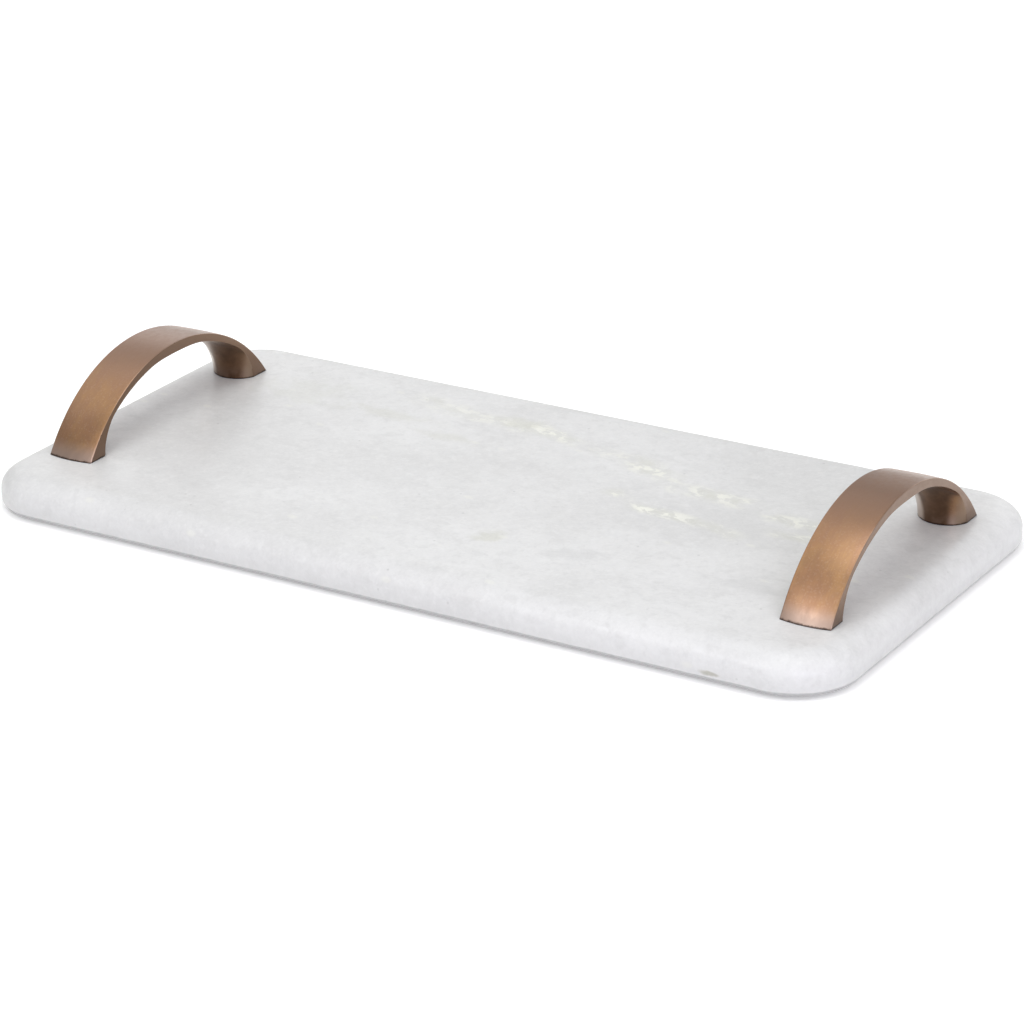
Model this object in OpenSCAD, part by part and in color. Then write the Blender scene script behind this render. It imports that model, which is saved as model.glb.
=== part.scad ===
// Dresser vanity tray: a marble slab with two cast arched pull handles.
// Frame: origin on the resting plane under the middle of the slab,
// +X along the slab, +Y across it, +Z up. Millimetres.

/* [Slab] */
// Length of the slab along X
slab_length = 457; // [440:1:520]
// Width of the slab along Y
slab_width = 220; // [200:1:300]
// Thickness of the slab
slab_thickness = 18; // [17:0.5:24]
// Radius of the slab's corners, seen from above
corner_radius = 31; // [26:1:45]
// Radius of the soft shoulder where the top face starts to fall away
shoulder_radius = 18; // [16:0.5:18]
// Radius of the tighter curve between the shoulder and the upright side
brow_radius = 8; // [7:0.5:9]
// Drop from the top face to where the side becomes upright
brow_drop = 10; // [9.5:0.5:10]
// Radius of the bottom edge
bottom_edge_radius = 4; // [2:0.5:5]

/* [Handles] */
// Distance from the slab's middle to each handle's middle
handle_offset = 199; // [160:1:203]
// Length of a handle along Y, toe to toe
handle_length = 148; // [144:1:152]
// Width of the handle's band along X
band_width = 25; // [22:1:27]
// Height of the arch above the slab
arch_height = 39; // [38:0.5:41]
// Thickness of the band at the top of the arch
band_thickness = 4.4; // [3.5:0.1:5]
// Radius of the arch's underside
underside_radius = 91; // [89:0.5:93]
// How far the toe of each foot bows out beyond its corners
toe_bow = 1.5; // [1:0.5:3]
// Distance between a handle's two screw holes
hole_spacing = 128; // [126:1:130]
// Distance between the middles of a handle's two round bosses
boss_spacing = 134; // [132:1:136]
// Radius of the round bosses before the band's sides trim them
boss_radius = 13.6; // [13:0.1:14.5]
// Radius of the curve that spreads each boss into the band
boss_flare = 34; // [33:1:36]

/* [Fasteners] */
// Diameter of the screws' shanks
screw_diameter = 4; // [3:0.5:5]
// Length of the screws under the head
screw_length = 20; // [18:1:22]
// Diameter of the pan heads
head_diameter = 8; // [7:0.5:9]
// Height of the pan heads
head_height = 2.6; // [2:0.1:3]
// Diameter of the spring washers
spring_washer_diameter = 7.6; // [7:0.1:9]
// Thickness of the spring washers
spring_washer_thickness = 1; // [0.8:0.1:1.2]
// Diameter of the flat washers
flat_washer_diameter = 10; // [9:0.5:12]
// Thickness of the flat washers
flat_washer_thickness = 0.8; // [0.5:0.1:1.2]
// Diameter of the soft washers that keep the steel off the stone
cushion_washer_diameter = 12; // [11:0.5:13]
// Thickness of the soft washers
cushion_washer_thickness = 1; // [0.8:0.1:1.5]
// Diameter of the recesses under the slab that hide the screw heads
recess_diameter = 14; // [13:0.5:16]
// How far the screw heads sit inside the recesses
head_inset = 1.1; // [0.5:0.1:2]

/* [Feet] */
// Diameter of the foot pads
pad_diameter = 18; // [12:1:22]
// Thickness of the foot pads
pad_thickness = 1.2; // [1:0.1:3]
// Distance from the slab's middle to each pad's middle along X
pad_x = 186; // [150:1:190]
// Distance from the slab's middle to each pad's middle along Y
pad_y = 88; // [60:1:88]

/* [Hidden] */
$fn = 96;

STONE = [0.89, 0.89, 0.88];
BRONZE = [0.62, 0.48, 0.37];
STEEL = [0.72, 0.73, 0.75];
RUBBER = [0.16, 0.16, 0.16];
CLEAR_RUBBER = [0.80, 0.80, 0.78];

// Room around a screw's shank in the stone and in a washer
shank_clearance = 0.5;
// Room around a screw's shank in a handle's tapped hole
thread_clearance = 0.05;
// Depth of each tapped hole in a handle
tapped_depth = 8;
// Width and depth of the cross recess in a screw head
driver_width = 1;
driver_depth = 1.3;
// Gap in each split spring washer
spring_washer_gap = 1;
// Overlap that keeps cuts clean
cut = 1;

slab_base = pad_thickness;
slab_top = slab_base + slab_thickness;
// The shoulder and brow curves touch where their centres line up
shoulder_setback = brow_radius
    + sqrt(pow(shoulder_radius - brow_radius, 2) - pow(shoulder_radius - brow_drop, 2));
brow_share = shoulder_radius / (shoulder_radius - brow_radius);
meeting_setback = shoulder_setback - (shoulder_setback - brow_radius) * brow_share;
recess_depth = head_inset + head_height + spring_washer_thickness
    + flat_washer_thickness + cushion_washer_thickness;

head_base = slab_base + head_inset;
spring_washer_base = head_base + head_height;
flat_washer_base = spring_washer_base + spring_washer_thickness;
cushion_washer_base = flat_washer_base + flat_washer_thickness;

arch_radius = (pow(handle_length / 2, 2) + pow(arch_height, 2)) / (2 * arch_height);
underside_height = arch_height - band_thickness;
// The flare stops inside the band, so its top never shows
flare_height = 0.75 * underside_height;
bow_radius = (pow(band_width / 2, 2) + pow(toe_bow, 2)) / (2 * toe_bow);

// Section of the slab's edge: x from a corner's centre outwards, y up
module edge_section() {
    shoulder_x = corner_radius - shoulder_setback;
    meeting_x = corner_radius - meeting_setback;
    side_top = slab_thickness - brow_drop;
    square([corner_radius - bottom_edge_radius, bottom_edge_radius]);
    intersection() {
        translate([corner_radius - bottom_edge_radius, bottom_edge_radius])
            circle(r = bottom_edge_radius);
        translate([corner_radius - bottom_edge_radius, 0])
            square(bottom_edge_radius);
    }
    translate([0, bottom_edge_radius])
        square([shoulder_x, slab_thickness - bottom_edge_radius]);
    intersection() {
        translate([shoulder_x, slab_thickness - shoulder_radius])
            circle(r = shoulder_radius);
        translate([shoulder_x, bottom_edge_radius])
            square([meeting_x - shoulder_x, slab_thickness]);
    }
    intersection() {
        translate([corner_radius - brow_radius, side_top])
            circle(r = brow_radius);
        translate([meeting_x, side_top])
            square([meeting_setback, brow_drop]);
    }
    translate([meeting_x, bottom_edge_radius])
        square([meeting_setback, side_top - bottom_edge_radius]);
}

// One straight edge of the slab, running along its own Y
module straight_edge(length) {
    rotate([90, 0, 0])
        linear_extrude(height = length, center = true)
            edge_section();
}

// The slab before drilling, standing on z = 0
module slab_blank() {
    corner_x = slab_length / 2 - corner_radius;
    corner_y = slab_width / 2 - corner_radius;
    translate([-corner_x, -corner_y, 0])
        cube([2 * corner_x, 2 * corner_y, slab_thickness]);
    for (side = [0, 1]) {
        rotate([0, 0, 180 * side]) {
            translate([corner_x, 0, 0])
                straight_edge(2 * corner_y);
            translate([0, corner_y, 0])
                rotate([0, 0, 90])
                    straight_edge(2 * corner_x);
            translate([corner_x, corner_y, 0])
                rotate_extrude(angle = 90)
                    edge_section();
            translate([-corner_x, corner_y, 0])
                rotate([0, 0, 90])
                    rotate_extrude(angle = 90)
                        edge_section();
        }
    }
}

// Repeats its children on the axis of every screw
module at_each_screw() {
    for (x = [-handle_offset, handle_offset])
        for (y = [-hole_spacing / 2, hole_spacing / 2])
            translate([x, y, 0])
                children();
}

module marble_slab() {
    color(STONE)
        difference() {
            translate([0, 0, slab_base])
                slab_blank();
            at_each_screw() {
                translate([0, 0, slab_base - cut])
                    cylinder(d = recess_diameter, h = recess_depth + cut);
                translate([0, 0, slab_base])
                    cylinder(d = screw_diameter + 2 * shank_clearance, h = slab_thickness + cut);
            }
        }
}

// Side view of everything under the arch's outer face
module arch_outline() {
    intersection() {
        translate([0, arch_height - arch_radius])
            circle(r = arch_radius, $fn = 180);
        translate([-handle_length / 2, 0])
            square([handle_length, arch_height + cut]);
    }
}

// Side view of the band alone
module band_outline() {
    difference() {
        arch_outline();
        translate([0, underside_height - underside_radius])
            circle(r = underside_radius, $fn = 180);
    }
}

// Turns a side view into a solid of the band's width
module across_band() {
    rotate([90, 0, 90])
        linear_extrude(height = band_width, center = true)
            children();
}

// A round boss that spreads upwards into the band, trimmed to the band's width
module boss() {
    intersection() {
        rotate_extrude()
            difference() {
                square([boss_radius + boss_flare, flare_height]);
                translate([boss_radius + boss_flare, 0])
                    circle(r = boss_flare);
            }
        translate([-band_width / 2, -handle_length, 0])
            cube([band_width, 2 * handle_length, arch_height]);
    }
}

// Fills the toe between a boss's middle and the end of the band
module toe_block() {
    translate([-band_width / 2, boss_spacing / 2, 0])
        cube([band_width, (handle_length - boss_spacing) / 2, arch_height]);
}

// Trims the two corners of a toe to a bowed edge
module toe_cutter() {
    difference() {
        translate([-band_width, handle_length / 2 - 2 * toe_bow, -cut])
            cube([2 * band_width, 3 * toe_bow, 2 * arch_height]);
        translate([0, handle_length / 2 - bow_radius, -2 * cut])
            cylinder(r = bow_radius, h = 3 * arch_height);
    }
}

// One handle, standing on z = 0 with its band arched over the Y axis
module handle() {
    color(BRONZE)
        difference() {
            union() {
                across_band() band_outline();
                intersection() {
                    across_band() arch_outline();
                    union() {
                        for (side = [-1, 1])
                            translate([0, side * boss_spacing / 2, 0])
                                boss();
                        for (side = [0, 1])
                            rotate([0, 0, 180 * side])
                                toe_block();
                    }
                }
            }
            for (side = [0, 1])
                rotate([0, 0, 180 * side])
                    toe_cutter();
            for (y = [-hole_spacing / 2, hole_spacing / 2])
                translate([0, y, -cut])
                    cylinder(d = screw_diameter + 2 * thread_clearance, h = tapped_depth + cut);
        }
}

module left_handle() {
    translate([-handle_offset, 0, slab_top])
        handle();
}

module right_handle() {
    translate([handle_offset, 0, slab_top])
        handle();
}

// Pan-head screw with a cross recess, head down
module handle_screw() {
    difference() {
        cylinder(d = head_diameter, h = head_height);
        for (turn = [0, 90])
            rotate([0, 0, turn])
                translate([-head_diameter / 4, -driver_width / 2, -cut])
                    cube([head_diameter / 2, driver_width, driver_depth + cut]);
    }
    translate([0, 0, head_height])
        cylinder(d = screw_diameter, h = screw_length);
}

module washer(diameter, thickness) {
    difference() {
        cylinder(d = diameter, h = thickness);
        translate([0, 0, -cut])
            cylinder(d = screw_diameter + shank_clearance, h = thickness + 2 * cut);
    }
}

module handle_screws() {
    color(STEEL)
        at_each_screw()
            translate([0, 0, head_base])
                handle_screw();
}

module spring_washers() {
    color(STEEL)
        at_each_screw()
            translate([0, 0, spring_washer_base])
                difference() {
                    washer(spring_washer_diameter, spring_washer_thickness);
                    translate([0, -spring_washer_gap / 2, -cut])
                        cube([spring_washer_diameter, spring_washer_gap, 3 * cut]);
                }
}

module flat_washers() {
    color(STEEL)
        at_each_screw()
            translate([0, 0, flat_washer_base])
                washer(flat_washer_diameter, flat_washer_thickness);
}

module cushion_washers() {
    color(CLEAR_RUBBER)
        at_each_screw()
            translate([0, 0, cushion_washer_base])
                washer(cushion_washer_diameter, cushion_washer_thickness);
}

module foot_pad(side_x, side_y) {
    color(RUBBER)
        translate([side_x * pad_x, side_y * pad_y, 0])
            cylinder(d = pad_diameter, h = pad_thickness);
}

marble_slab();
left_handle();
right_handle();
handle_screws();
spring_washers();
flat_washers();
cushion_washers();
foot_pad(-1, -1);  // foot_pad_front_left
foot_pad(1, -1);  // foot_pad_front_right
foot_pad(-1, 1);  // foot_pad_back_left
foot_pad(1, 1);  // foot_pad_back_right
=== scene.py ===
import math
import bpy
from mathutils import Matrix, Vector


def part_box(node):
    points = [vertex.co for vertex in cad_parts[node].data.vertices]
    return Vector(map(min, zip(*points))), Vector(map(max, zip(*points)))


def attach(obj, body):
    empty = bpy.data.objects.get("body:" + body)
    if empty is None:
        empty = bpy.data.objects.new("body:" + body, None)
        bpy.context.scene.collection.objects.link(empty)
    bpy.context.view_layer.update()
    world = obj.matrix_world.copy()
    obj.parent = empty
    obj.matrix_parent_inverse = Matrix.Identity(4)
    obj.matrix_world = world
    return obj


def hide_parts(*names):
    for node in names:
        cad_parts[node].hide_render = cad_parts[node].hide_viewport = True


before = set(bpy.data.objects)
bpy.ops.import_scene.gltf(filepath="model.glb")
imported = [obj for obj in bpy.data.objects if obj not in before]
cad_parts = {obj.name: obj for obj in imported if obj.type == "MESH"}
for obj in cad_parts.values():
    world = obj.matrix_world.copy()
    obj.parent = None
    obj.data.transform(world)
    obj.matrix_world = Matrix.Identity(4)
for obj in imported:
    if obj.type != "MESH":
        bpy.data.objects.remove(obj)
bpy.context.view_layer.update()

from types import SimpleNamespace

import bmesh
import bpy
from mathutils import Matrix, Vector, noise

MM = 0.001

# Sizes that the CAD source states, in metres. Places come from the frame's boxes.
CORNER_RADIUS = 31 * MM
SHOULDER_RADIUS = 18 * MM
SHOULDER_SETBACK = 14 * MM
BROW_RADIUS = 8 * MM
BROW_BASE = 8 * MM
MEETING_ANGLE = math.acos(0.6)
BOTTOM_EDGE_RADIUS = 4 * MM
RECESS_RADIUS = 7 * MM
RECESS_DEPTH = 6.5 * MM
SHANK_HOLE_RADIUS = 2.5 * MM
HALF_HOLE_SPACING = 64 * MM
HALF_BOSS_SPACING = 67 * MM
BOSS_RADIUS = 13.6 * MM
BOSS_FLARE = 34 * MM
BAND_THICKNESS = 4.4 * MM
UNDERSIDE_RADIUS = 91 * MM
TOE_BOW = 1.5 * MM

slab_low, slab_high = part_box("marble_slab")
handle_low, handle_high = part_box("right_handle")
HALF_LENGTH = slab_high.x
HALF_WIDTH = slab_high.y
SLAB_BASE = slab_low.z
SLAB_TOP = slab_high.z
THICKNESS = SLAB_TOP - SLAB_BASE
HANDLE_X = (handle_low.x + handle_high.x) / 2
HALF_BAND = (handle_high.x - handle_low.x) / 2
HALF_HANDLE = handle_high.y
ARCH_HEIGHT = handle_high.z - SLAB_TOP
UNDERSIDE_MIDDLE = ARCH_HEIGHT - BAND_THICKNESS - UNDERSIDE_RADIUS


# ---------------------------------------------------------------- node trees

class Shader:
    """One material's node tree, with a short way to add each kind of node."""

    def __init__(self, name):
        self.material = bpy.data.materials.new(name)
        self.material.use_nodes = True
        self.tree = self.material.node_tree
        self.surface = self.tree.nodes["Principled BSDF"]
        self.place = self.node("ShaderNodeTexCoord").outputs["Object"]

    def node(self, kind, **settings):
        made = self.tree.nodes.new(kind)
        for key, value in settings.items():
            setattr(made, key, value)
        return made

    def plug(self, socket, value):
        """Links another node's output to the socket, or sets the socket's own value."""
        if isinstance(value, bpy.types.NodeSocket):
            self.tree.links.new(value, socket)
        else:
            socket.default_value = value

    def math(self, operation, first, second=0.0):
        made = self.node("ShaderNodeMath", operation=operation)
        self.plug(made.inputs[0], first)
        self.plug(made.inputs[1], second)
        return made.outputs[0]

    def times(self, product, *factors):
        for factor in factors:
            product = self.math("MULTIPLY", product, factor)
        return product

    def fade(self, value, low, high, to_low=0.0, to_high=1.0):
        """A smooth change from to_low to to_high as value goes from low to high."""
        made = self.node("ShaderNodeMapRange", interpolation_type="SMOOTHSTEP")
        self.plug(made.inputs["Value"], value)
        made.inputs["From Min"].default_value = low
        made.inputs["From Max"].default_value = high
        made.inputs["To Min"].default_value = to_low
        made.inputs["To Max"].default_value = to_high
        return made.outputs["Result"]

    def turn(self, vector, scale=(1, 1, 1), degrees=0.0, shift=(0, 0, 0)):
        """The vector scaled, then turned about Z, then shifted."""
        made = self.node("ShaderNodeMapping")
        self.plug(made.inputs["Vector"], vector)
        made.inputs["Scale"].default_value = scale
        made.inputs["Rotation"].default_value = (0, 0, math.radians(degrees))
        made.inputs["Location"].default_value = shift
        return made.outputs["Vector"]

    def parts(self, vector):
        """The three parts of a vector or of a colour."""
        made = self.node("ShaderNodeSeparateXYZ")
        self.plug(made.inputs[0], vector)
        return made.outputs

    def cloud(self, vector, scale, detail=3.0, rough=0.5, bend=0.0):
        """Smooth noise round 0.5, with about scale waves to a metre."""
        made = self.node("ShaderNodeTexNoise")
        self.plug(made.inputs["Vector"], vector)
        made.inputs["Scale"].default_value = scale
        made.inputs["Detail"].default_value = detail
        made.inputs["Roughness"].default_value = rough
        made.inputs["Distortion"].default_value = bend
        return made.outputs["Fac"]

    def cells(self, vector, scale):
        """Cells, each with the distance from its middle and a colour of its own."""
        made = self.node("ShaderNodeTexVoronoi")
        self.plug(made.inputs["Vector"], vector)
        made.inputs["Scale"].default_value = scale
        return made.outputs

    def mix(self, share, first, second):
        """The first colour with that share of the second."""
        made = self.node("ShaderNodeMix", data_type="RGBA")
        self.plug(made.inputs["Factor"], share)
        self.plug(made.inputs[6], first)
        self.plug(made.inputs[7], second)
        return made.outputs[2]

    def set_surface(self, values):
        for name, value in values.items():
            self.surface.inputs[name].default_value = value

    def finish(self, colour, roughness, height, depth):
        """Plugs in the colour, the roughness and a bump of that depth in metres."""
        bump = self.node("ShaderNodeBump")
        bump.inputs["Strength"].default_value = 1.0
        bump.inputs["Distance"].default_value = depth
        self.plug(bump.inputs["Height"], height)
        self.plug(self.surface.inputs["Base Color"], colour)
        self.plug(self.surface.inputs["Roughness"], roughness)
        self.plug(self.surface.inputs["Normal"], bump.outputs["Normal"])
        return self.material


def grey(level, warmth=0.0):
    """A grey, made redder and less blue by its warmth."""
    return (level * (1 + warmth), level, level * (1 - warmth), 1)


# ---------------------------------------------------------------- marble

# Cream veins, turned clockwise from X as seen from above. Each has a middle line, a
# half width, a start and an end along it, and a strength.
VEIN_DEGREES = 12
VEINS = (
    (57 * MM, 11.25 * MM, -120 * MM, -25 * MM, 0.5),
    (62 * MM, 10 * MM, -55 * MM, 50 * MM, 0.85),
    (57 * MM, 10 * MM, 20 * MM, 165 * MM, 0.9),
    (28 * MM, 7.5 * MM, 38 * MM, 132 * MM, 1.5),
    (41 * MM, 7.5 * MM, 125 * MM, 178 * MM, 0.9),
)
VEIN_FADE = 18 * MM
VEIN_WANDER = 26 * MM
VEIN_HAZE = (0.65, 0.652, 0.60, 1)
VEIN_DULL = (0.55, 0.55, 0.48, 1)
VEIN_CREAM = (0.82, 0.82, 0.755, 1)
PALE_FLECK = (0.78, 0.78, 0.72, 1)

# The small brown chip low on the front edge
CHIP_X = 174 * MM
CHIP_Z = 5.8 * MM

# Stains and clouds in the stone: middle, half sizes, strength, colour
OLIVE = (0.57, 0.57, 0.51, 1)
STAINS = (
    ((-32 * MM, 70 * MM, SLAB_TOP), (20 * MM, 9 * MM, 20 * MM), 0.5, OLIVE),
    ((-95 * MM, 52 * MM, SLAB_TOP), (34 * MM, 8 * MM, 20 * MM), 0.35, OLIVE),
    ((-56 * MM, 39 * MM, SLAB_TOP), (22 * MM, 7 * MM, 20 * MM), 0.35, OLIVE),
    ((29 * MM, -55 * MM, SLAB_TOP), (12 * MM, 8 * MM, 20 * MM), 0.6, OLIVE),
    ((74 * MM, -55 * MM, SLAB_TOP), (20 * MM, 11 * MM, 20 * MM), 0.5, grey(0.56)),
    ((160 * MM, -47 * MM, SLAB_TOP), (24 * MM, 14 * MM, 20 * MM), 0.5, grey(0.55)),
    ((-150 * MM, 60 * MM, SLAB_TOP), (34 * MM, 22 * MM, 30 * MM), 0.4, (0.60, 0.605, 0.565, 1)),
    ((120 * MM, 10 * MM, SLAB_TOP), (60 * MM, 26 * MM, 30 * MM), 0.4, (0.58, 0.58, 0.575, 1)),
    ((CHIP_X, -HALF_WIDTH, CHIP_Z), (6 * MM, 3 * MM, 1.3 * MM), 0.8, (0.30, 0.28, 0.20, 1)),
)

# Chips along the bottom edge: place, length, height and depth
CHIPS = (
    (CHIP_X, -HALF_WIDTH, CHIP_Z, 5 * MM, 0.8 * MM, 0.6 * MM),
    (-60 * MM, -HALF_WIDTH, 3.2 * MM, 2 * MM, 1.0 * MM, 0.4 * MM),
)


def stone_clouds(s, along):
    """Grey clouds at three sizes and darker blots, most of them drawn out along the veins."""
    drawn = s.turn(along, scale=(0.7, 1.0, 1.0))
    broad = s.cloud(drawn, 14, detail=3, rough=0.5, bend=0.5)
    middle = s.cloud(drawn, 62, detail=4, rough=0.55, bend=0.3)
    fine = s.cloud(s.place, 280, detail=3, rough=0.55)
    blot_place = s.turn(along, scale=(0.8, 1.0, 1.0), shift=(0.2, 0.5, 0))
    blots = s.cloud(blot_place, 120, detail=3, bend=0.6)
    colour = s.mix(s.fade(broad, 0.36, 0.66), grey(0.642, 0.002), grey(0.696))
    colour = s.mix(s.fade(middle, 0.46, 0.68, 0.0, 0.42), colour, grey(0.60, 0.002))
    colour = s.mix(s.fade(fine, 0.50, 0.72, 0.0, 0.32), colour, grey(0.76))
    colour = s.mix(s.fade(fine, 0.46, 0.28, 0.0, 0.32), colour, grey(0.56))
    return s.mix(s.fade(blots, 0.56, 0.70, 0.0, 0.40), colour, grey(0.585, 0.003))


def vein_share(s, along):
    """How far each point is inside a vein. The veins wander, break up and end softly."""
    u, v, _ = s.parts(along)
    wander = s.cloud(s.turn(along, scale=(1, 0.3, 1)), 26, detail=2)
    wandered = s.math("ADD", v, s.times(s.math("SUBTRACT", wander, 0.5), VEIN_WANDER))
    total = None
    for middle_line, half_width, start, end, strength in VEINS:
        off = s.math("ABSOLUTE", s.math("SUBTRACT", wandered, middle_line))
        band = s.fade(off, 0.0, half_width, 1.0, 0.0)
        run = s.times(
            s.fade(u, start, start + VEIN_FADE),
            s.fade(u, end - VEIN_FADE, end, 1.0, 0.0),
        )
        share = s.times(band, run, strength)
        total = share if total is None else s.math("MAXIMUM", total, share)
    patches = s.cloud(s.turn(along, scale=(0.6, 1.0, 1.0)), 42, detail=2)
    return s.times(total, s.fade(patches, 0.36, 0.52, 0.12, 1.0))


def stone_veins(s, along, colour):
    """A pale haze along each vein, with dull and bright strokes in it."""
    veins = vein_share(s, along)
    drawn = s.turn(along, scale=(0.62, 1.0, 1.0))
    strokes = s.cloud(drawn, 165, detail=4, rough=0.62, bend=0.35)
    dull = s.times(veins, s.fade(strokes, 0.49, 0.42))
    bright = s.times(veins, s.fade(strokes, 0.51, 0.56))
    colour = s.mix(s.times(veins, 0.65), colour, VEIN_HAZE)
    colour = s.mix(s.times(dull, 0.32), colour, VEIN_DULL)
    return s.mix(s.times(bright, 0.9), colour, VEIN_CREAM)


def stone_stains(s, ragged, colour):
    """The stains and clouds of the list, with ragged edges."""
    for middle, half_sizes, strength, tone in STAINS:
        squeeze = tuple(1 / size for size in half_sizes)
        shift = tuple(-place / size for place, size in zip(middle, half_sizes))
        away = s.node("ShaderNodeVectorMath", operation="LENGTH")
        s.plug(away.inputs[0], s.turn(s.place, scale=squeeze, shift=shift))
        edge = s.math("ADD", away.outputs["Value"], ragged)
        colour = s.mix(s.fade(edge, 0.2, 1.0, strength, 0.0), colour, tone)
    return colour


def rare_dots(s, vector, scale, radii, chance, channel):
    """Soft dots in the few cells whose own colour is high enough in that channel."""
    cells = s.cells(vector, scale)
    return s.times(
        s.fade(cells["Distance"], *radii, 1.0, 0.0),
        s.fade(s.parts(cells["Color"])[channel], *chance),
    )


def marble_material():
    s = Shader("marble")
    along = s.turn(s.place, degrees=VEIN_DEGREES)
    ragged = s.times(s.math("SUBTRACT", s.cloud(along, 95, detail=4, rough=0.6), 0.5), 2.4)
    colour = stone_clouds(s, along)
    colour = stone_veins(s, along, colour)
    colour = stone_stains(s, ragged, colour)

    # Crystal grain, rare pale flecks and rare dark specks
    grain = s.parts(s.cells(s.place, 900)["Color"])[0]
    colour = s.mix(s.fade(grain, 0.0, 1.0, 0.0, 0.08), colour, grey(0.95))
    drawn = s.turn(along, scale=(0.55, 1.0, 1.0))
    fleck = rare_dots(s, drawn, 120, radii=(0.10, 0.26), chance=(0.90, 0.94), channel=0)
    colour = s.mix(s.times(fleck, 0.35), colour, PALE_FLECK)
    speck = rare_dots(s, s.place, 210, radii=(0.06, 0.18), chance=(0.94, 0.97), channel=1)
    colour = s.mix(s.times(speck, 0.4), colour, grey(0.38))

    # Painted shade: the stone is darker towards its lower edge, standing in for the light that
    # doesn't reach it there
    rise = s.math("SUBTRACT", s.parts(s.place)[2], SLAB_BASE)
    colour = s.mix(s.fade(rise, 3 * MM, 15 * MM, 0.34, 0.0), colour, grey(0.42))
    # Painted contact shadow: a thin dark line just above the bottom edge
    line = s.math("ADD", rise, s.times(ragged, 0.35 * MM))
    colour = s.mix(s.fade(line, 2.2 * MM, 3.0 * MM, 0.55, 0.0), colour, grey(0.24))

    rough = s.fade(s.cloud(s.place, 120, detail=4), 0.3, 0.7, 0.30, 0.44)
    pores = s.times(s.cloud(s.place, 500, detail=3), 0.12)
    height = s.math("ADD", s.cloud(s.place, 45, detail=2), pores)
    height = s.math("SUBTRACT", height, s.times(speck, 0.15))
    s.set_surface({
        "Subsurface Weight": 0.12,
        "Subsurface Radius": (1.0, 0.95, 0.9),
        "Subsurface Scale": 2.0 * MM,
        "IOR": 1.5,
    })
    return s.finish(colour, rough, height, 0.10 * MM)


# ---------------------------------------------------------------- bronze

COPPER = (0.368, 0.198, 0.106, 1)
GOLD = (0.415, 0.233, 0.108, 1)
BRUSH_LINE = (0.27, 0.15, 0.09, 1)
MOTTLE = (0.27, 0.155, 0.10, 1)
BRIGHT_FLAKE = (0.70, 0.52, 0.40, 1)
# Painted shade over the top of the arch, and a painted highlight at the toes
PAINTED_TOP_SHADE = (0.285, 0.165, 0.108, 1)
PAINTED_TOE_HIGHLIGHT = (0.44, 0.325, 0.275, 1)
# Painted shade on the sides, the flanks and the hollow, a painted reflection on the -X flank,
# and a painted contact shadow round the foot
PAINTED_SIDE_SHADE = (0.190, 0.112, 0.068, 1)
PAINTED_FLANK_SHADE = (0.29, 0.21, 0.15, 1)
PAINTED_HOLLOW_SHADE = (0.120, 0.063, 0.032, 1)
PAINTED_FLANK_REFLECTION = (0.60, 0.53, 0.47, 1)
PAINTED_CONTACT_SHADOW = (0.030, 0.016, 0.012, 1)
WORN_EDGE = (0.60, 0.44, 0.36, 1)


def arch_place(s):
    """Where a point lies on its handle, and which way it faces.

    rise is its height above the slab, path is x, the length along the arch and the
    distance from the middle of the underside's arc, and hollow is 1 under the arch.
    facing is the X part of its normal, and lean is the same without its sign.
    """
    x, y, z = s.parts(s.place)
    facing = s.parts(s.node("ShaderNodeNewGeometry").outputs["Normal"])[0]
    rise = s.math("SUBTRACT", z, SLAB_TOP)
    from_arc = s.math("SUBTRACT", rise, UNDERSIDE_MIDDLE)
    reach = s.math("SQRT", s.math("ADD", s.times(y, y), s.times(from_arc, from_arc)))
    swing = s.times(s.math("ARCTAN2", y, from_arc), UNDERSIDE_RADIUS)
    path = s.node("ShaderNodeCombineXYZ")
    for socket, value in zip(path.inputs, (x, swing, reach)):
        s.plug(socket, value)
    return SimpleNamespace(
        x=x,
        rise=rise,
        path=path.outputs["Vector"],
        hollow=s.fade(reach, UNDERSIDE_RADIUS - 0.9 * MM, UNDERSIDE_RADIUS + 0.5 * MM, 1.0, 0.0),
        facing=facing,
        lean=s.math("ABSOLUTE", facing),
    )


def brushed_tones(s, at, brushed, mottle):
    """Gold and rose tones that drift along the arch, and the lines of the brush."""
    drift = s.cloud(s.turn(at.path, scale=(1.0, 0.45, 1.0)), 80, detail=4, rough=0.6, bend=0.4)
    flakes = s.parts(s.cells(s.place, 1500)["Color"])[0]
    colour = s.mix(s.fade(drift, 0.34, 0.66), COPPER, GOLD)
    colour = s.mix(s.fade(brushed, 0.36, 0.64, 0.20, 0.0), colour, BRUSH_LINE)
    colour = s.mix(s.fade(mottle, 0.36, 0.66, 0.26, 0.0), colour, MOTTLE)
    return s.mix(s.fade(flakes, 0.70, 1.0, 0.0, 0.08), colour, BRIGHT_FLAKE)


def painted_boss_shading(s, at, colour):
    """The bosses and the hollow in painted shade: dark, with browner painted shade on the flanks
    and a pale painted reflection on the flank towards -X.

    The painted shade reaches further round the bosses of the left handle.
    """
    # Painted shade: browner on the flanks, and dark where the hollow faces along the arch
    rounded = s.times(at.hollow, s.fade(at.lean, 0.95, 0.99, 1.0, 0.0))
    flank = s.times(rounded, s.fade(at.lean, 0.50, 0.75))
    colour = s.mix(s.times(flank, 0.7), colour, PAINTED_FLANK_SHADE)
    further = s.times(s.math("LESS_THAN", at.x, 0.0), 0.20)
    faces_in = s.fade(s.math("SUBTRACT", at.lean, further), 0.34, 0.62, 1.0, 0.0)
    patchy = s.fade(s.cloud(s.place, 160, detail=3), 0.35, 0.65, 0.82, 1.0)
    colour = s.mix(s.times(at.hollow, faces_in, patchy), colour, PAINTED_HOLLOW_SHADE)
    # Painted reflection: the rounded flank facing -X is painted pale, less so low down
    wear_and_painted_reflection = s.times(
        rounded,
        s.fade(at.facing, -0.56, -0.34, 1.0, 0.0),
        s.fade(at.rise, 1 * MM, 13 * MM, 0.35, 0.95),
    )
    return s.mix(wear_and_painted_reflection, colour, PAINTED_FLANK_REFLECTION)


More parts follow.
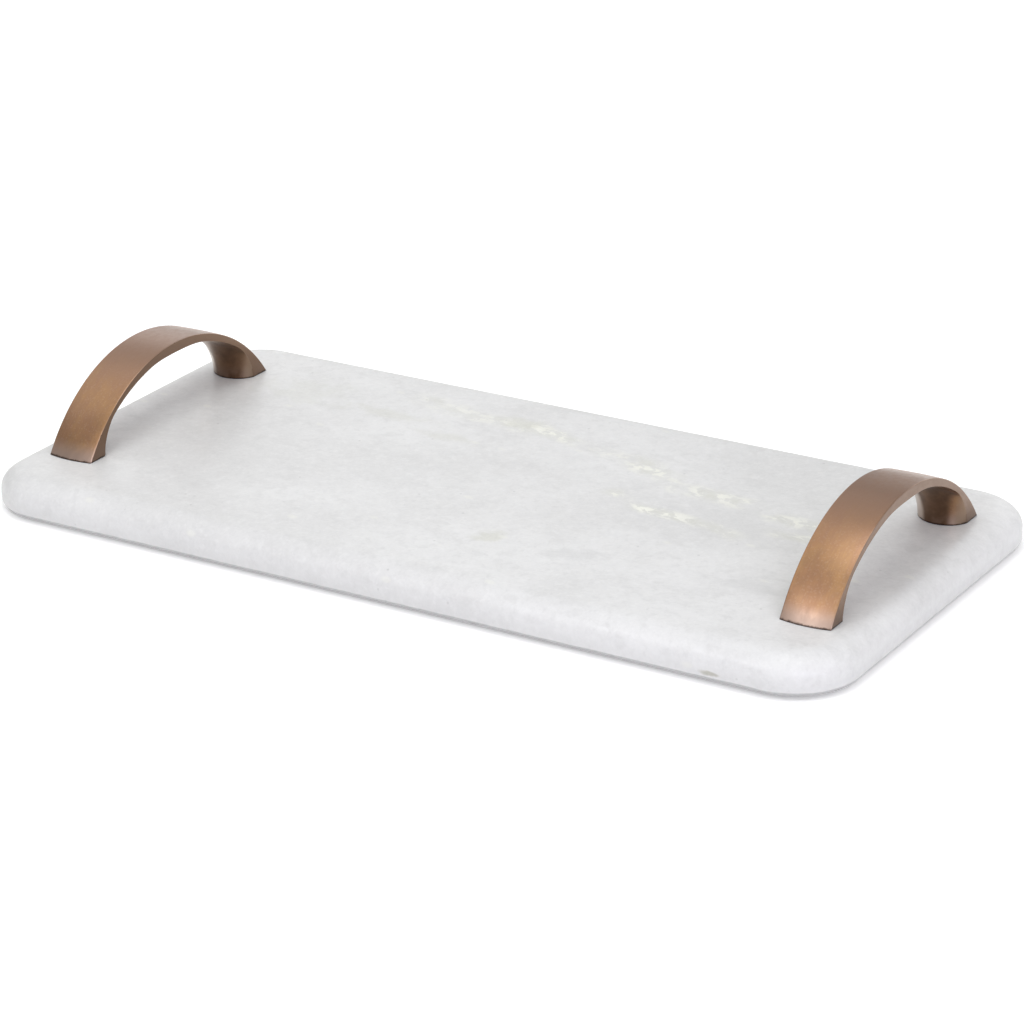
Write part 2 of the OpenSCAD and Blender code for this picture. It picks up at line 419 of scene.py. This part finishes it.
def worn_edges(s, at):
    """Where the finish is worn thin, along the upper edges."""
    across = s.math("SUBTRACT", s.math("ABSOLUTE", at.x), HANDLE_X)
    near_edge = s.fade(s.math("ABSOLUTE", across), HALF_BAND - 0.7 * MM, HALF_BAND - 0.2 * MM)
    on_bevel = s.times(s.fade(at.lean, 0.20, 0.45), s.fade(at.lean, 0.90, 0.985, 1.0, 0.0))
    wear_and_painted_reflection = s.fade(s.cloud(s.place, 60, detail=3, rough=0.6), 0.36, 0.62, 0.35, 1.0)
    return s.times(near_edge, on_bevel, wear_and_painted_reflection, s.math("SUBTRACT", 1.0, at.hollow))


def bronze_material():
    s = Shader("bronze")
    at = arch_place(s)
    brushed = s.cloud(s.turn(at.path, scale=(1.0, 0.06, 1.0)), 1300, detail=4, rough=0.6)
    mottle = s.cloud(s.turn(at.path, scale=(1.0, 0.6, 1.0)), 420, detail=4, rough=0.65)
    colour = brushed_tones(s, at, brushed, mottle)

    # Painted shade over the top of the arch, and a pale rose painted highlight at the toes
    over_top = s.fade(at.rise, 0.62 * ARCH_HEIGHT, ARCH_HEIGHT, 0.0, 0.9)
    colour = s.mix(over_top, colour, PAINTED_TOP_SHADE)
    colour = s.mix(s.fade(at.rise, 1 * MM, 9 * MM, 0.85, 0.0), colour, PAINTED_TOE_HIGHLIGHT)

    # Painted shade on the sides, in the hollow under the arch and round the base
    colour = s.mix(s.times(s.fade(at.lean, 0.70, 0.95), 0.92), colour, PAINTED_SIDE_SHADE)
    colour = painted_boss_shading(s, at, colour)
    # Painted contact shadow: a thin dark line round the foot where it meets the slab
    foot = s.math("ADD", at.rise, s.fade(mottle, 0.3, 0.7, -0.25 * MM, 0.25 * MM))
    colour = s.mix(s.fade(foot, 0.35 * MM, 1.1 * MM, 0.9, 0.0), colour, PAINTED_CONTACT_SHADOW)

    wear = worn_edges(s, at)
    colour = s.mix(s.times(wear, 0.35), colour, WORN_EDGE)
    rough = s.fade(mottle, 0.3, 0.7, 0.33, 0.43)
    rough = s.math("SUBTRACT", rough, s.times(wear, 0.08))
    height = s.math("ADD", s.cloud(s.place, 90, detail=2), s.times(brushed, 0.20))
    s.set_surface({"Metallic": 1.0, "Coat Weight": 0.45, "Coat Roughness": 0.24})
    return s.finish(colour, rough, height, 0.06 * MM)


# ---------------------------------------------------------------- steel, rubber and floor

def steel_material():
    s = Shader("zinc_steel")
    swirl = s.cloud(s.turn(s.place, scale=(1, 1, 6)), 700, detail=3)
    colour = s.mix(s.fade(swirl, 0.3, 0.7), (0.56, 0.57, 0.60, 1), (0.72, 0.72, 0.72, 1))
    tint = s.cloud(s.place, 260, detail=3)
    colour = s.mix(s.fade(tint, 0.45, 0.7, 0.0, 0.35), colour, (0.66, 0.64, 0.55, 1))
    rough = s.fade(swirl, 0.3, 0.7, 0.22, 0.38)
    s.set_surface({"Metallic": 1.0})
    return s.finish(colour, rough, swirl, 0.03 * MM)


def rubber_material(name, dark, light, low_rough, high_rough):
    """Rubber that turns from its dark tone to its light one, and rougher, under dust."""
    s = Shader(name)
    dust = s.cloud(s.place, 320, detail=5, rough=0.65)
    broad = s.cloud(s.place, 70, detail=3)
    colour = s.mix(s.fade(dust, 0.40, 0.72), dark, light)
    colour = s.mix(s.fade(broad, 0.45, 0.7, 0.0, 0.4), colour, light)
    rough = s.fade(dust, 0.3, 0.7, low_rough, high_rough)
    grains = s.cells(s.place, 2200)["Distance"]
    return s.finish(colour, rough, grains, 0.04 * MM)


def floor_material():
    """A plain pale floor, which glows a little so that it stays white round the tray."""
    s = Shader("studio_floor")
    tone = s.cloud(s.place, 3, detail=4)
    colour = s.mix(s.fade(tone, 0.3, 0.7), grey(0.965), grey(0.975))
    rough = s.fade(s.cloud(s.place, 9, detail=3), 0.3, 0.7, 0.85, 0.95)
    s.set_surface({
        "Specular IOR Level": 0.1,
        "Emission Color": (1, 1, 1, 1),
        "Emission Strength": 0.21,
    })
    return s.finish(colour, rough, s.cloud(s.place, 300, detail=2), 0.02 * MM)


# ---------------------------------------------------------------- mesh helpers

SHARP_ANGLE = math.radians(32)
FASTENER_SHARP_ANGLE = math.radians(40)
HOLE_STEPS = 48


def new_object(name, bm, material):
    """Turns bm into a linked object, smooth except at its sharp edges."""
    bmesh.ops.recalc_face_normals(bm, faces=bm.faces)
    mesh = bpy.data.meshes.new(name)
    bm.to_mesh(mesh)
    bm.free()
    mesh.shade_smooth()
    mesh.set_sharp_from_angle(angle=SHARP_ANGLE)
    mesh.materials.append(material)
    made = bpy.data.objects.new(name, mesh)
    bpy.context.scene.collection.objects.link(made)
    return made


def round_edges(piece, width, segments, angle):
    """Rounds every edge that turns by more than the angle."""
    bevel = piece.modifiers.new("edges", "BEVEL")
    bevel.width = width
    bevel.segments = segments
    bevel.limit_method = "ANGLE"
    bevel.angle_limit = angle


def bridge(bm, first, second, closed=True):
    """Quads between two rows of the same number of vertices."""
    count = len(first) if closed else len(first) - 1
    for i in range(count):
        j = (i + 1) % len(first)
        bm.faces.new((first[i], first[j], second[j], second[i]))


def ring(bm, centre, radius, z):
    """A level circle of vertices."""
    made = []
    for i in range(HOLE_STEPS):
        turn = 2 * math.pi * i / HOLE_STEPS
        made.append(bm.verts.new((
            centre[0] + radius * math.cos(turn),
            centre[1] + radius * math.sin(turn),
            z,
        )))
    return made


def row_edges(bm, row):
    """The edges that join a closed row of vertices, made if they are missing."""
    made = []
    for i, vertex in enumerate(row):
        following = row[(i + 1) % len(row)]
        made.append(bm.edges.get((vertex, following)) or bm.edges.new((vertex, following)))
    return made


# ---------------------------------------------------------------- marble slab

CORNER_STEPS = 24
LONG_STEPS = 190
SHORT_STEPS = 76
BOTTOM_EDGE_STEPS = 8
BROW_STEPS = 10
SHOULDER_STEPS = 12

# Rows on the flat bottom, up the straight wall and on the flat top
BOTTOM_INSETS = (9 * MM, 6 * MM)
WALL_ROW = 6 * MM
TOP_MARGIN = 4 * MM

# The hand-finished stone's unevenness: waves to a metre, and their depth
EDGE_WAVES = 38
EDGE_WAVE_DEPTH = 0.22 * MM
CHIP_FALLOFF = 2
MOUTH_CHAMFER = 0.4 * MM


def slab_outline(inset):
    """The slab's outline taken in by inset, counter-clockwise from the right back corner."""
    corner_x = HALF_LENGTH - CORNER_RADIUS
    corner_y = HALF_WIDTH - CORNER_RADIUS
    radius = CORNER_RADIUS - inset
    signs = ((1, 1), (-1, 1), (-1, -1), (1, -1))
    corners = [Vector((sx * corner_x, sy * corner_y)) for sx, sy in signs]
    points = []
    for turn, centre in enumerate(corners):
        start = math.radians(90 * turn)
        for i in range(CORNER_STEPS + 1):
            angle = start + math.radians(90) * i / CORNER_STEPS
            points.append(centre + radius * Vector((math.cos(angle), math.sin(angle))))
        last = points[-1]
        side = corners[(turn + 1) % 4] - centre
        steps = LONG_STEPS if turn % 2 == 0 else SHORT_STEPS
        for i in range(1, steps):
            points.append(last + side * i / steps)
    return points


def slab_section():
    """Inset and height of each row, from the flat bottom round the edge to the flat top."""
    section = [(inset, 0.0) for inset in BOTTOM_INSETS]
    for i in range(BOTTOM_EDGE_STEPS + 1):
        angle = math.radians(90) * i / BOTTOM_EDGE_STEPS
        section.append((
            BOTTOM_EDGE_RADIUS * (1 - math.sin(angle)),
            BOTTOM_EDGE_RADIUS * (1 - math.cos(angle)),
        ))
    section.append((0.0, WALL_ROW))
    for i in range(BROW_STEPS + 1):
        angle = MEETING_ANGLE * i / BROW_STEPS
        section.append((
            BROW_RADIUS * (1 - math.cos(angle)),
            BROW_BASE + BROW_RADIUS * math.sin(angle),
        ))
    for i in range(1, SHOULDER_STEPS + 1):
        angle = MEETING_ANGLE + (math.radians(90) - MEETING_ANGLE) * i / SHOULDER_STEPS
        section.append((
            SHOULDER_SETBACK - SHOULDER_RADIUS * math.cos(angle),
            THICKNESS - SHOULDER_RADIUS * (1 - math.sin(angle)),
        ))
    section.append((SHOULDER_SETBACK + TOP_MARGIN, THICKNESS))
    return section


def chip_depth(point):
    """How deep the chips along the bottom edge reach at a point of the surface."""
    deepest = 0.0
    for x, y, z, length, height, depth in CHIPS:
        away = ((point.x - x) / length) ** 2 + ((point.y - y) / length) ** 2
        away += ((point.z - z) / height) ** 2
        deepest = max(deepest, depth * math.exp(-away * CHIP_FALLOFF))
    return deepest


def clamp(value, limit):
    return min(max(value, -limit), limit)


def edge_row(bm, inset, height):
    """One row of the edge's vertices, pushed in by the stone's waves and chips."""
    upright = min(1.0, max(0.0, (SHOULDER_SETBACK - inset) / SHOULDER_SETBACK))
    upright *= min(1.0, height / BOTTOM_EDGE_RADIUS)
    row = []
    for point in slab_outline(inset):
        place = Vector((point.x, point.y, SLAB_BASE + height))
        wave = 0.5 + 0.5 * noise.noise(place * EDGE_WAVES)
        push = EDGE_WAVE_DEPTH * wave * upright + chip_depth(place)
        inwards = Vector((
            clamp(point.x, HALF_LENGTH - CORNER_RADIUS),
            clamp(point.y, HALF_WIDTH - CORNER_RADIUS),
            place.z,
        )) - place
        row.append(bm.verts.new(place + inwards.normalized() * push))
    return row


def drill_hole(bm, centre):
    """A stepped hole's walls. Returns its lowest and highest rings."""
    rings = [
        ring(bm, centre, RECESS_RADIUS + MOUTH_CHAMFER, SLAB_BASE),
        ring(bm, centre, RECESS_RADIUS, SLAB_BASE + MOUTH_CHAMFER),
        ring(bm, centre, RECESS_RADIUS, SLAB_BASE + RECESS_DEPTH),
        ring(bm, centre, SHANK_HOLE_RADIUS, SLAB_BASE + RECESS_DEPTH),
        ring(bm, centre, SHANK_HOLE_RADIUS, SLAB_TOP),
    ]
    for lower, upper in zip(rings, rings[1:]):
        bridge(bm, lower, upper)
    return rings[0], rings[-1]


def build_slab(material):
    bm = bmesh.new()
    rows = [edge_row(bm, inset, height) for inset, height in slab_section()]
    for lower, upper in zip(rows, rows[1:]):
        bridge(bm, lower, upper)

    bottom_edges = row_edges(bm, rows[0])
    top_edges = row_edges(bm, rows[-1])
    for x in (-HANDLE_X, HANDLE_X):
        for y in (-HALF_HOLE_SPACING, HALF_HOLE_SPACING):
            mouth, top_ring = drill_hole(bm, (x, y))
            bottom_edges += row_edges(bm, mouth)
            top_edges += row_edges(bm, top_ring)
    for edges, up in ((bottom_edges, (0, 0, -1)), (top_edges, (0, 0, 1))):
        bmesh.ops.triangle_fill(bm, use_beauty=True, use_dissolve=False, edges=edges, normal=up)
    slab = new_object("marble_slab_stone", bm, material)
    slab.modifiers.new("even_shading", "WEIGHTED_NORMAL").keep_sharp = True
    return slab


# ---------------------------------------------------------------- handles

ARCH_STEPS = 72
FILLET = 1.6 * MM
EDGE_BEVEL = 0.32 * MM

# Distances of the lengthwise slices from the handle's middle, in millimetres
SLICES = (0, 1.6, 3.2, 4.8, 6.4, 7.8, 9.1, 10.2, 11.1, 11.8, 12.5)


def soft_minimum(first, second, width):
    """The smaller of two heights, rounded over where they cross."""
    share = max(width - abs(first - second), 0.0) / width
    return min(first, second) - share * share * width / 4


def outer_arc(x):
    """The handle's upper face from toe to toe: y and height above the slab."""
    toe = HALF_HANDLE - TOE_BOW * (x / HALF_BAND) ** 2
    radius = (toe ** 2 + ARCH_HEIGHT ** 2) / (2 * ARCH_HEIGHT)
    reach = math.asin(toe / radius)
    points = []
    for i in range(ARCH_STEPS + 1):
        angle = reach * (2 * i / ARCH_STEPS - 1)
        points.append((
            radius * math.sin(angle),
            ARCH_HEIGHT - radius * (1 - math.cos(angle)),
        ))
    return points


def inner_arc(x):
    """The boss at each end, spreading up into the band's underside."""
    heel = HALF_BOSS_SPACING - math.sqrt(BOSS_RADIUS ** 2 - x ** 2)
    points = []
    for i in range(ARCH_STEPS + 1):
        y = -heel * math.cos(math.pi * i / ARCH_STEPS)
        from_boss = math.hypot(x, HALF_BOSS_SPACING - abs(y))
        out = BOSS_FLARE + BOSS_RADIUS - from_boss
        boss = math.sqrt(max(BOSS_FLARE ** 2 - out ** 2, 0.0)) if out > 0 else BOSS_FLARE
        band = UNDERSIDE_MIDDLE + math.sqrt(UNDERSIDE_RADIUS ** 2 - y ** 2)
        z = soft_minimum(boss, band, FILLET)
        if i in (0, ARCH_STEPS):
            z = 0.0
        points.append((y, max(z, 0.0)))
    return points


def build_handle(name, centre_x, material):
    bm = bmesh.new()
    outer = []
    inner = []
    places = [-x * MM for x in reversed(SLICES[1:])] + [x * MM for x in SLICES]
    for x in places:
        for rows, arc in ((outer, outer_arc(x)), (inner, inner_arc(x))):
            rows.append([bm.verts.new((centre_x + x, y, SLAB_TOP + z)) for y, z in arc])
    for rows in (outer, inner):
        for first, second in zip(rows, rows[1:]):
            bridge(bm, first, second, closed=False)
    for j in (0, -1):
        bridge(bm, outer[j], inner[j], closed=False)
    for i in (0, -1):
        toe = [row[i] for row in outer]
        heel = [row[i] for row in inner]
        bridge(bm, toe, heel, closed=False)
    handle = new_object(name, bm, material)
    round_edges(handle, EDGE_BEVEL, 3, SHARP_ANGLE)
    handle.modifiers.new("even_shading", "WEIGHTED_NORMAL")
    return handle


# ---------------------------------------------------------------- scene

# The camera's direction in degrees and its distance, from the point that it looks at,
# and its lens and sensor in millimetres
CAMERA_AZIMUTH = 32.5
CAMERA_ELEVATION = 22.704
CAMERA_ROLL = -1.491
CAMERA_DISTANCE = 1734.7 * MM
CAMERA_TARGET = Vector((-0.48 * MM, 10.07 * MM, SLAB_BASE))
CAMERA_LENS = 128.71
SENSOR_WIDTH = 36

# A hair under the foot pads, so that their faces don't coincide
FLOOR_HEIGHT = -0.03 * MM
FLOOR_REACH = 12
FLOOR_CELLS = 24

WORLD_STRENGTH = 0.49

# Softboxes round the tray: azimuth from +X, elevation, watts and colour
SOFTBOX_DISTANCE = 2.2
SOFTBOX_SIZE = (1.3, 1.0)
SOFTBOXES = (
    ("top", 0, 90, 11.4, (0.995, 1.01, 0.985)),
    ("front_right", 315, 18, 13.4, (0.975, 0.945, 1.10)),
    ("front", 270, 50, 3.2, (1, 1, 1)),
    ("right", 0, 50, 7, (1, 1, 1)),
    ("left", 180, 50, 2.8, (1, 1, 1)),
    ("back_left", 135, 50, 1.8, (1, 1, 1)),
    ("back_left_low", 135, 18, 2.8, (1, 1, 1)),
    ("back", 90, 18, 4.4, (1, 1, 1)),
)

# The small near light, which gives the right handle's front leg its glow
KEY_PLACE = (-0.13, -0.55, 0.57)
KEY_AIM = (0.199, -0.07, 0.02)
KEY_SIZE = (0.42, 0.18)
KEY_WATTS = 0.78


def place_camera():
    azimuth, elevation, roll = (
        math.radians(degrees) for degrees in (CAMERA_AZIMUTH, CAMERA_ELEVATION, CAMERA_ROLL)
    )
    back = Vector((
        math.sin(azimuth) * math.cos(elevation),
        -math.cos(azimuth) * math.cos(elevation),
        math.sin(elevation),
    ))
    level = (-back).cross(Vector((0, 0, 1))).normalized()
    upward = level.cross(-back)
    right = level * math.cos(roll) + upward * math.sin(roll)
    up = upward * math.cos(roll) - level * math.sin(roll)
    data = bpy.data.cameras.new("camera")
    data.lens = CAMERA_LENS
    data.sensor_width = SENSOR_WIDTH
    data.clip_end = 100
    camera = bpy.data.objects.new("camera", data)
    turn = Matrix((right, up, back)).transposed().to_4x4()
    camera.matrix_world = Matrix.Translation(CAMERA_TARGET + back * CAMERA_DISTANCE) @ turn
    bpy.context.scene.collection.objects.link(camera)
    bpy.context.scene.camera = camera


def softbox(name, place, aim, size, power, colour=(1, 1, 1)):
    data = bpy.data.lights.new(name, "AREA")
    data.shape = "RECTANGLE"
    data.size, data.size_y = size
    data.energy = power
    data.color = colour
    light = bpy.data.objects.new(name, data)
    light.location = place
    light.rotation_euler = (Vector(aim) - Vector(place)).to_track_quat("-Z", "Y").to_euler()
    bpy.context.scene.collection.objects.link(light)


def build_floor():
    bm = bmesh.new()
    bmesh.ops.create_grid(bm, x_segments=FLOOR_CELLS, y_segments=FLOOR_CELLS, size=FLOOR_REACH)
    floor = new_object("studio_floor", bm, floor_material())
    floor.location.z = FLOOR_HEIGHT


def light_scene():
    world = bpy.data.worlds.new("studio")
    bpy.context.scene.world = world
    world.use_nodes = True
    sky = world.node_tree.nodes["Background"]
    sky.inputs["Color"].default_value = (1, 1, 1, 1)
    sky.inputs["Strength"].default_value = WORLD_STRENGTH
    for name, azimuth, elevation, power, colour in SOFTBOXES:
        across, rise = math.radians(azimuth), math.radians(elevation)
        place = Vector((
            math.cos(across) * math.cos(rise),
            math.sin(across) * math.cos(rise),
            math.sin(rise),
        ))
        softbox(name, place * SOFTBOX_DISTANCE, (0, 0, 0), SOFTBOX_SIZE, power, colour)
    softbox("key", KEY_PLACE, KEY_AIM, KEY_SIZE, KEY_WATTS)
    bpy.context.scene.view_settings.view_transform = "Standard"


place_camera()
build_floor()
light_scene()

marble = marble_material()
bronze = bronze_material()
slab = build_slab(marble)
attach(slab, "root")
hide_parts("marble_slab")
for node, centre_x in (("left_handle", -HANDLE_X), ("right_handle", HANDLE_X)):
    handle = build_handle(node + "_cast", centre_x, bronze)
    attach(handle, "root")
    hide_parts(node)

# The CAD's fasteners and foot pads stay, each with a material and rounded edges
steel = steel_material()
soft = rubber_material("soft_washer", (0.50, 0.50, 0.46, 1), (0.66, 0.66, 0.62, 1), 0.35, 0.55)
black = rubber_material("pad_rubber", (0.022, 0.022, 0.023, 1), (0.05, 0.05, 0.05, 1), 0.6, 0.85)
finishes = {
    "handle_screws": (steel, 0.22 * MM),
    "spring_washers": (steel, 0.12 * MM),
    "flat_washers": (steel, 0.12 * MM),
    "cushion_washers": (soft, 0.2 * MM),
    "foot_pad_front_left": (black, 0.3 * MM),
    "foot_pad_front_right": (black, 0.3 * MM),
    "foot_pad_back_left": (black, 0.3 * MM),
    "foot_pad_back_right": (black, 0.3 * MM),
}
for node, (material, edge) in finishes.items():
    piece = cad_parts[node]
    piece.data.materials.clear()
    piece.data.materials.append(material)
    round_edges(piece, edge, 2, FASTENER_SHARP_ANGLE)
